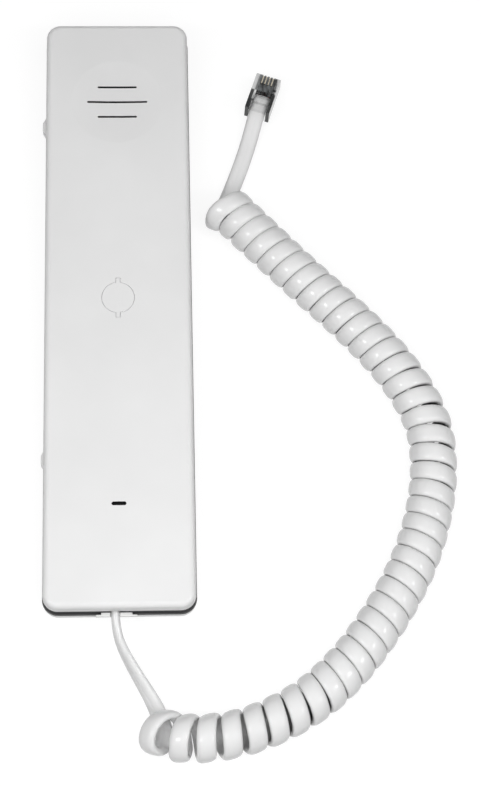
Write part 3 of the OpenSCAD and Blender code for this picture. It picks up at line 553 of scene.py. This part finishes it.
# The pulled turns are this much narrower, and the last turns this much wider
PULLED_NARROWER = 0.45 * MM
LOOSE_WIDER = 0.55 * MM
LOOSE_TURNS = 5
# How fast the lean of the first turns fades, per turn
LEAN_FADES = 0.72
# How much of its half width a leaning turn stands on
LEAN_STANDS = 0.85
# The turns between which the first turns' skew grows and fades
SKEW_GROWS = (0.5, 1.25)
SKEW_FADES = (3.4, 6)
# The part of a turn over which the cord rises from the floor into the coil
RISE_TURNS = 0.3
# Where the last turn sets the cord down, its heading there, how much farther to the side it
# swings, and between which parts of the last turn it does so
SET_DOWN = Vector((31, 35.5, 0)) * MM
SET_DOWN_HEADING = math.radians(66)
SET_DOWN_SWING = 0.27
SET_DOWN_TURNS = (0.5, 0.2)
# The cord's line is drawn in steps of about this length
CORD_STEP = 1.4 * MM
# How many of the line's given points are eased on each side of a join, and how often
EASED_AT_HANDSET, EASED_AT_PLUG = 10, 4
EASING_ROUNDS = 24
# The cord has its full coiled width half a turn inside the coil, in steps
FULL_WIDTH_AT = STEPS_PER_TURN / 2
# The painted shade on the coil's inner side grows from the first turn to the eighth, and on the
# cord's section from this far above its middle to this far below it, in half thicknesses
SHADE_GROWS = (STEPS_PER_TURN, 8 * STEPS_PER_TURN)
SHADE_ABOVE, SHADE_BELOW = 0.55, 0.3
# The share of the pitch that a turn's width may fill, and the least width
PITCH_FILLED = 0.985
LEAST_WIDTH = 3.5 * MM
# Places across a quarter of the cord's section, as shares of its half width, and the powers that
# make its flats nearly level and its edges round
SECTION = (1, 0.985, 0.94, 0.86, 0.74, 0.58, 0.40, 0.22, 0.09)
FLAT_POWER, EDGE_POWER = 2.7, 2.1


def share(value, low, high):
    """How far a value is on its way from low to high, from 0 to 1."""
    return min(1.0, max(0.0, (value - low) / (high - low)))


def smooth_step(u):
    """A share from 0 to 1, with a soft start and end."""
    return u * u * (3 - 2 * u)


def pull_near_handset(n):
    """How far a turn is pulled out near the handset, as a share."""
    return max(0.0, 1 - abs(n - PULLED_TURN) / PULLED_TURNS)


def pitch_at(n, sizes):
    """The pitch at a turn, pulled wider near the handset and a little in the bend."""
    in_bend = max(0.0, 1 - abs(n - BENT_TURN) / BENT_TURNS)
    return sizes.pitch + sizes.pulled * pull_near_handset(n) + sizes.bent * in_bend


def coil_diameter(n, sizes):
    """The outer diameter at a turn: narrower where it is pulled, wider at the loose end."""
    loose = share(n, sizes.turns - LOOSE_TURNS, sizes.turns)
    return sizes.coil - PULLED_NARROWER * pull_near_handset(n) + LOOSE_WIDER * loose


def coil_points(sizes):
    """The coil's line and, at each of its points, the way out of the coil."""
    axis = smooth_line([(x * MM, y * MM, 0) for x, y in COIL_LINE], steps=12)
    low = sizes.thickness / 2
    tail_ahead = Vector((math.cos(SET_DOWN_HEADING), math.sin(SET_DOWN_HEADING), 0))
    sets_from, sets_to = (sizes.turns - before for before in SET_DOWN_TURNS)
    along = COIL_STARTS
    points = []
    for step in range(sizes.turns * STEPS_PER_TURN + 1):
        n = step / STEPS_PER_TURN
        centre, ahead = at_length(axis, along)
        along += pitch_at(n + 0.5 / STEPS_PER_TURN, sizes) / STEPS_PER_TURN
        side = UPWARD.cross(ahead)
        radius = (coil_diameter(n, sizes) - sizes.thickness) / 2
        lean = sizes.lean * math.exp(-LEAN_FADES * (n - 0.5))
        rise = math.cos(lean) * UPWARD - math.sin(lean) * ahead
        skew = sizes.skew * smooth_step(share(n, *SKEW_GROWS))
        skew *= 1 - smooth_step(share(n, *SKEW_FADES))
        centre += ahead * skew
        side -= ahead * (skew / radius)
        # the last half turn moves over to where the tail starts, and faces along it
        setting = smooth_step(share(n, sets_from, sets_to))
        centre = centre.lerp(SET_DOWN, setting)
        side = side.slerp(-tail_ahead, setting)
        # the turns start at the underside and are wound left-handed
        angle = -math.pi / 2 - 2 * math.pi * n
        out = math.cos(angle) * side + math.sin(angle) * rise
        # each turn stands on the floor, also where it leans on the edge of the cord
        tipped = sizes.coiled_width / 2 * math.sin(lean) * LEAN_STANDS + low * math.cos(lean)
        centre.z = tipped + radius * math.cos(lean)
        place = centre + radius * (out + math.cos(angle) * side * SET_DOWN_SWING * setting)
        # the handset's tail lies flat where the coil takes it up
        leaving = 1 - smooth_step(share(n, 0, RISE_TURNS))
        place.z += (low - tipped) * leaving
        points.append((place, out.lerp(-UPWARD, leaving)))
    return points


def tail_points(route):
    """A tail's points and, at each, its outer side: down where it lies flat, as in the coil."""
    line = [Vector(p[:3]) * MM for p in route]
    points = []
    for i, place in enumerate(line):
        ahead = (line[min(i + 1, len(line) - 1)] - line[max(i - 1, 0)]).normalized()
        across = UPWARD.cross(ahead).normalized()
        upward = ahead.cross(across)
        roll = math.radians(route[i][3])
        points.append((place, math.sin(roll) * across - math.cos(roll) * upward))
    return points


def catmull(near, u):
    """A point on the smooth curve between the middle two of four points."""
    a, b, c, d = near
    return 0.5 * (2 * b + (c - a) * u + (2 * a - 5 * b + 4 * c - d) * u ** 2
                  + (3 * b - a - 3 * c + d) * u ** 3)


def eased(line, outs, pulls):
    """Evens out the line and its twist where each tail runs into the coil."""
    spots = [(i, pulls[i]) for i in range(1, len(line) - 1) if pulls[i]]
    for _ in range(EASING_ROUNDS):
        before, faced = list(line), list(outs)
        for i, pull in spots:
            line[i] = before[i].lerp((before[i - 1] + before[i + 1]) / 2, pull)
            outs[i] = faced[i].lerp((faced[i - 1] + faced[i + 1]) / 2, pull).normalized()
    return line, outs


def cord_line(sizes):
    """The whole cord's points, the way out at each, and how many points it is inside the coil."""
    first, last = tail_points(HANDSET_TAIL), tail_points(PLUG_TAIL)
    given = first + coil_points(sizes) + last
    places = [place for place, out in given]
    starts, ends = len(first) - 0.5, len(given) - len(last) - 0.5
    line, outs, inside, pulls = [], [], [], []
    for i in range(len(given) - 1):
        steps = max(1, round((places[i + 1] - places[i]).length / CORD_STEP))
        near = [places[max(i - 1, 0)], places[i], places[i + 1],
                places[min(i + 2, len(places) - 1)]]
        for u in (step / steps for step in range(steps)):
            line.append(catmull(near, u))
            outs.append(given[i][1].lerp(given[i + 1][1], u))
            past_start, before_end = i + u - starts, ends - i - u
            inside.append(min(past_start, before_end))
            pulls.append(0.5 * max(0.0, 1 - abs(past_start) / EASED_AT_HANDSET,
                                   1 - abs(before_end) / EASED_AT_PLUG))
    line.append(places[-1])
    outs.append(given[-1][1])
    inside.append(ends - len(given) + 1)
    return (*eased(line, outs, pulls), inside)


def jacket_widths(line, coiled, sizes):
    """The jacket's width at each point: fuller in the coil, as far as the next turn allows."""
    found = []
    for i, fullness in enumerate(coiled):
        room = sizes.coiled_width
        for k in (i - STEPS_PER_TURN, i + STEPS_PER_TURN):
            if fullness and 0 <= k < len(line):
                room = min(room, (line[k] - line[i]).length * PITCH_FILLED)
        found.append(sizes.width + (max(room, LEAST_WIDTH) - sizes.width) * fullness)
    return found


def cord_section():
    """The cord's section, in half widths: crowned flats that run over into round edges."""
    quarter = [(x, (1 - x ** FLAT_POWER) ** (1 / EDGE_POWER)) for x in SECTION]
    half = quarter + [(0, 1)] + [(-x, y) for x, y in reversed(quarter)]
    return half + [(-x, -y) for x, y in half[1:-1]]


def jacket(line, outs, inside, sizes):
    """The closed jacket round the line, with the share of painted shade that each place takes on
    the coil's inner side.
    """
    coiled = [smooth_step(share(n, 0, FULL_WIDTH_AT)) for n in inside]
    shaded = [share(n, *SHADE_GROWS) for n in inside]
    widths = jacket_widths(line, coiled, sizes)
    section = cord_section()
    columns = len(line)
    shape = bmesh.new()
    bmesh.ops.create_grid(shape, x_segments=columns - 1, y_segments=len(section), size=1)
    coil_inner_shade = shape.verts.layers.float.new("coil_inner_shade")
    # the grid's vertices come row by row: each row of it becomes one line along the cord
    shape.verts.ensure_lookup_table()
    for number, vert in enumerate(shape.verts):
        row, i = divmod(number, columns)
        ahead = (line[min(i + 1, columns - 1)] - line[max(i - 1, 0)]).normalized()
        out = (outs[i] - ahead * outs[i].dot(ahead)).normalized()
        across = ahead.cross(out)
        x, y = section[row % len(section)]
        # painted shade: the coil's inner side, and the edges facing it, take a darker colour
        vert[coil_inner_shade] = share(-y, -SHADE_ABOVE, SHADE_BELOW) * shaded[i]
        if x == 0:
            y *= 1 - sizes.crease * (1 - coiled[i]) / sizes.thickness * 2
        vert.co = line[i] + across * (x * widths[i] / 2) + out * (y * sizes.thickness / 2)
        vert.co.z = max(vert.co.z, 0)
    bmesh.ops.remove_doubles(shape, verts=shape.verts, dist=1e-7)
    ends = [edge for edge in shape.edges if edge.is_boundary]
    bmesh.ops.holes_fill(shape, edges=ends, sides=0)
    bmesh.ops.recalc_face_normals(shape, faces=shape.faces)
    for face in shape.faces:
        face.smooth = len(face.verts) == 4
    return shape


def cord_jacket(name, tone, rough):
    """Glossy soft vinyl with a faint flow grain and handling marks, and painted shade on the
    coil's inner side.
    """
    f = Finish(name)
    at = f.place()
    cloud = f.noise(at, per_metre=60, detail=3)
    marks = f.noise(at, per_metre=500, detail=4, roughness=0.6)
    fine = f.noise(at, per_metre=2600)
    coil_inner_shade = f.node("ShaderNodeAttribute", {"attribute_name": "coil_inner_shade"})["Fac"]
    colour = f.mix(cloud.above(0.5, 0.6), shade(tone, 0.97), shade(tone, 1.02))
    return f.surface({
        # Painted shade on the coil's inner side
        "Base Color": f.mix(coil_inner_shade * 0.85, colour, COIL_SHADE),
        "Roughness": rough + marks * 0.12 - 0.05,
        "Coat Weight": 1.0,
        "Coat Roughness": 0.2,
        "Specular IOR Level": 0.2,
        "Normal": f.bump(fine, 0.01 * MM, 0.5),
    })


class SLIMLINE_OT_cord(bpy.types.Operator):
    """Make the flat cord: its tails and its curly stretch, as one jacket"""

    bl_idname = "slimline.cord"
    bl_label = "Cord"

    def execute(self, context):
        sizes, colours = settings("cord"), settings("finishes")
        line, outs, inside = cord_line(sizes)
        vinyl = cord_jacket("cord_jacket", (*colours.cord, 1), colours.cord_rough)
        cord = publish(jacket(line, outs, inside, sizes), "cord", vinyl)
        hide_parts("handset_tail", "curly_cord", "plug_tail")
        total = sum((b - a).length for a, b in zip(line, line[1:]))
        return {"FINISHED"}


# ---------------------------------------------------------------- stage

# How bright the floor shows itself, and how far it lies below the part
FLOOR_GLOW = 0.84
FLOOR_DROP = 0.05 * MM
# The lamps' places, sides and shares of the key's power, and the spot that all of them face
LAMPS = {
    "front_lamp": ((0.02, -0.18, 0.42), 0.48, 1.0),
    "left_lamp": ((-0.52, -0.31, 0.70), 0.11, 0.55),
    "right_lamp": ((0.57, -0.31, 0.70), 0.11, 0.55),
}
LAMPS_FACE = Vector((0.03, -0.04, 0))


def seen_rays(f):
    """1 for rays from the camera, in a gloss or through glass, and 0 for those that light."""
    rays = f.node("ShaderNodeLightPath")
    seen = rays["Is Camera Ray"] + rays["Is Glossy Ray"] + rays["Is Transmission Ray"]
    return seen.clamped()


def floor_paint(tone):
    """Pale floor that keeps the part's shadow."""
    f = Finish("studio_floor")
    paint = f.node("ShaderNodeBsdfDiffuse", None, {"Color": (*tone, 1)})["BSDF"]
    glow = f.node("ShaderNodeEmission", None,
                  {"Color": (1, 1, 1, 1), "Strength": seen_rays(f) * FLOOR_GLOW})["Emission"]
    both = f.node("ShaderNodeAddShader", None, {0: paint, 1: glow})["Shader"]
    f.node("ShaderNodeOutputMaterial", None, {"Surface": both})
    return f.holder


def surround(level):
    """White where it is seen, and an even light of that level elsewhere."""
    f = Finish("studio_light", bpy.data.worlds)
    strength = level + seen_rays(f) * (1 - level)
    back = f.node("ShaderNodeBackground", None, {"Strength": strength})["Background"]
    f.node("ShaderNodeOutputWorld", None, {"Surface": back})
    return f.holder


def hang_lamp(name, spot, side, power):
    """A square lamp that isn't seen itself; the large one isn't seen in a gloss either."""
    lamp = bpy.data.lights.new(name, "AREA")
    lamp.shape = "SQUARE"
    lamp.size = side
    lamp.energy = power
    hung = bpy.data.objects.new(name, lamp)
    hung.location = spot
    hung.rotation_euler = (LAMPS_FACE - hung.location).to_track_quat("-Z", "Y").to_euler()
    hung.visible_camera = False
    hung.visible_glossy = name != "front_lamp"
    bpy.context.scene.collection.objects.link(hung)


class SLIMLINE_OT_stage(bpy.types.Operator):
    """Set the pale floor and the soft studio light"""

    bl_idname = "slimline.stage"
    bl_label = "Floor and light"

    def execute(self, context):
        light = settings("light")
        ground = bmesh.new()
        bmesh.ops.create_grid(ground, x_segments=1, y_segments=1, size=6)
        floor = linked(ground, "studio_floor", floor_paint(light.floor))
        floor.location.z = -FLOOR_DROP
        context.scene.world = surround(light.sky)
        for name, (spot, side, portion) in LAMPS.items():
            hang_lamp(name, spot, side, light.key * portion)
        context.scene.view_settings.view_transform = "Standard"
        return {"FINISHED"}


# ---------------------------------------------------------------- pieces


class SLIMLINE_OT_shells(bpy.types.Operator):
    """Finish the shells, the seam band, the cap, the keys and the gland"""

    bl_idname = "slimline.shells"
    bl_label = "Shells and small outer pieces"

    def execute(self, context):
        colours, edges = settings("finishes"), settings("edges")
        shell, rough = (*colours.shell, 1), colours.shell_rough
        white = moulded("shell_plastic", shell, rough, coat=0.3)
        # The front shell's slot walls get painted shade
        front = moulded("front_shell_plastic", shell, rough, coat=0.3, shaded=painted_slot_shade)
        # The rear shell's parting face gets painted shade from the seam
        rear = moulded("rear_shell_plastic", shell, rough, coat=0.3, shaded=painted_seam_shade)
        # The seam band's near-black colour is partly its own and partly painted shadow of the seam
        band = moulded("band_plastic", (*colours.band, 1), 0.7, grain=0.02 * MM, shine=0.12)
        true_face(refined("front_shell", front, edges.shell))
        refined("rear_shell", rear, edges.shell)
        refined("seam_band", band, edges.small)
        refined("screw_cap", white, edges.shell)
        refined("upper_key", white, edges.shell, "upper_key_unit")
        refined("lower_key", white, edges.shell, "lower_key_unit")
        refined("cord_gland", bpy.data.materials["cord_jacket"], edges.shell)
        return {"FINISHED"}


class SLIMLINE_OT_plug(bpy.types.Operator):
    """Finish the clear plug, its wedge, its latch, its contacts and its conductors"""

    bl_idname = "slimline.plug"
    bl_label = "Plug"

    def execute(self, context):
        colours, edges = settings("finishes"), settings("edges")
        clear = smoky("clear_plastic", (*colours.plug, 1))
        refined("plug_body", clear, edges.small)
        refined("plug_wedge", clear, edges.small)
        refined("plug_latch", clear, edges.small, "plug_latch_unit")
        dress("plug_contacts", metal("gold_contacts", (0.70, 0.64, 0.52, 1), 0.25))
        dress("plug_conductors", metal("copper", (0.50, 0.33, 0.25, 1), 0.4))
        return {"FINISHED"}


class SLIMLINE_OT_works(bpy.types.Operator):
    """Finish the pieces inside the handset"""

    bl_idname = "slimline.works"
    bl_label = "Inner pieces"

    def execute(self, context):
        coarse = 0.02 * MM
        finishes = {
            "steel": metal("steel", (0.62, 0.62, 0.64, 1), 0.32),
            "magnet_iron": metal("magnet_iron", (0.22, 0.22, 0.23, 1), 0.5),
            "copper": bpy.data.materials["copper"],
            "aluminium_can": metal("aluminium_can", (0.75, 0.76, 0.78, 1), 0.28),
            "black_plastic": moulded("black_plastic", (0.02, 0.02, 0.021, 1), 0.5, coarse),
            "ivory_plastic": moulded("ivory_plastic", (0.72, 0.69, 0.58, 1), 0.45, coarse),
            "board_laminate": moulded("board_laminate", (0.05, 0.20, 0.10, 1), 0.4, coat=0.3),
            "buff_ceramic": moulded("buff_ceramic", (0.62, 0.48, 0.28, 1), 0.45, 0.03 * MM),
            "diaphragm_film": moulded("diaphragm_film", (0.66, 0.62, 0.50, 1), 0.35, coat=0.2),
            "wire_jacket": moulded("wire_jacket", (0.45, 0.05, 0.04, 1), 0.4),
            "foam": porous("foam", (0.05, 0.05, 0.052, 1), cell=1400, depth=0.3 * MM, rough=0.95),
            "black_rubber": porous("black_rubber", (0.025, 0.025, 0.025, 1), cell=3000,
                                   depth=0.03 * MM, rough=0.7),
        }
        for node in CAD:
            if SLOT_OF[node] in finishes:
                dress(node, finishes[SLOT_OF[node]])
        return {"FINISHED"}


# ---------------------------------------------------------------- panel and registration


class SLIMLINE_PT_panel(bpy.types.Panel):
    """The handset's settings and steps"""

    bl_idname = "SLIMLINE_PT_panel"
    bl_label = "Slimline Handset"
    bl_space_type = "VIEW_3D"
    bl_region_type = "UI"
    bl_category = "Handset"

    def draw(self, context):
        for group in GROUPS:
            box = self.layout.box()
            box.label(text=group.capitalize())
            held = settings(group)
            for name in held.__annotations__:
                box.prop(held, name)
        for step in STEPS:
            self.layout.operator(step.bl_idname)


GROUPS = {
    "finishes": SlimlineFinishes,
    "cord": SlimlineCordSizes,
    "edges": SlimlineEdges,
    "light": SlimlineLight,
}
STEPS = (
    SLIMLINE_OT_camera, SLIMLINE_OT_plug, SLIMLINE_OT_cord, SLIMLINE_OT_shells,
    SLIMLINE_OT_works, SLIMLINE_OT_stage,
)


def register():
    """Adds the settings, the operators and the panel."""
    for kind in (*GROUPS.values(), *STEPS, SLIMLINE_PT_panel):
        bpy.utils.register_class(kind)
    for name, kind in GROUPS.items():
        setattr(bpy.types.Scene, "slimline_" + name, bpy.props.PointerProperty(type=kind))


def unregister():
    """Takes them out again, last first."""
    for name in GROUPS:
        delattr(bpy.types.Scene, "slimline_" + name)
    for kind in (SLIMLINE_PT_panel, *reversed(STEPS), *reversed(tuple(GROUPS.values()))):
        bpy.utils.unregister_class(kind)


def main():
    """Runs every step in order."""
    register()
    for step in STEPS:
        family, name = step.bl_idname.split(".")
        getattr(getattr(bpy.ops, family), name)()


if __name__ == "__main__":
    main()
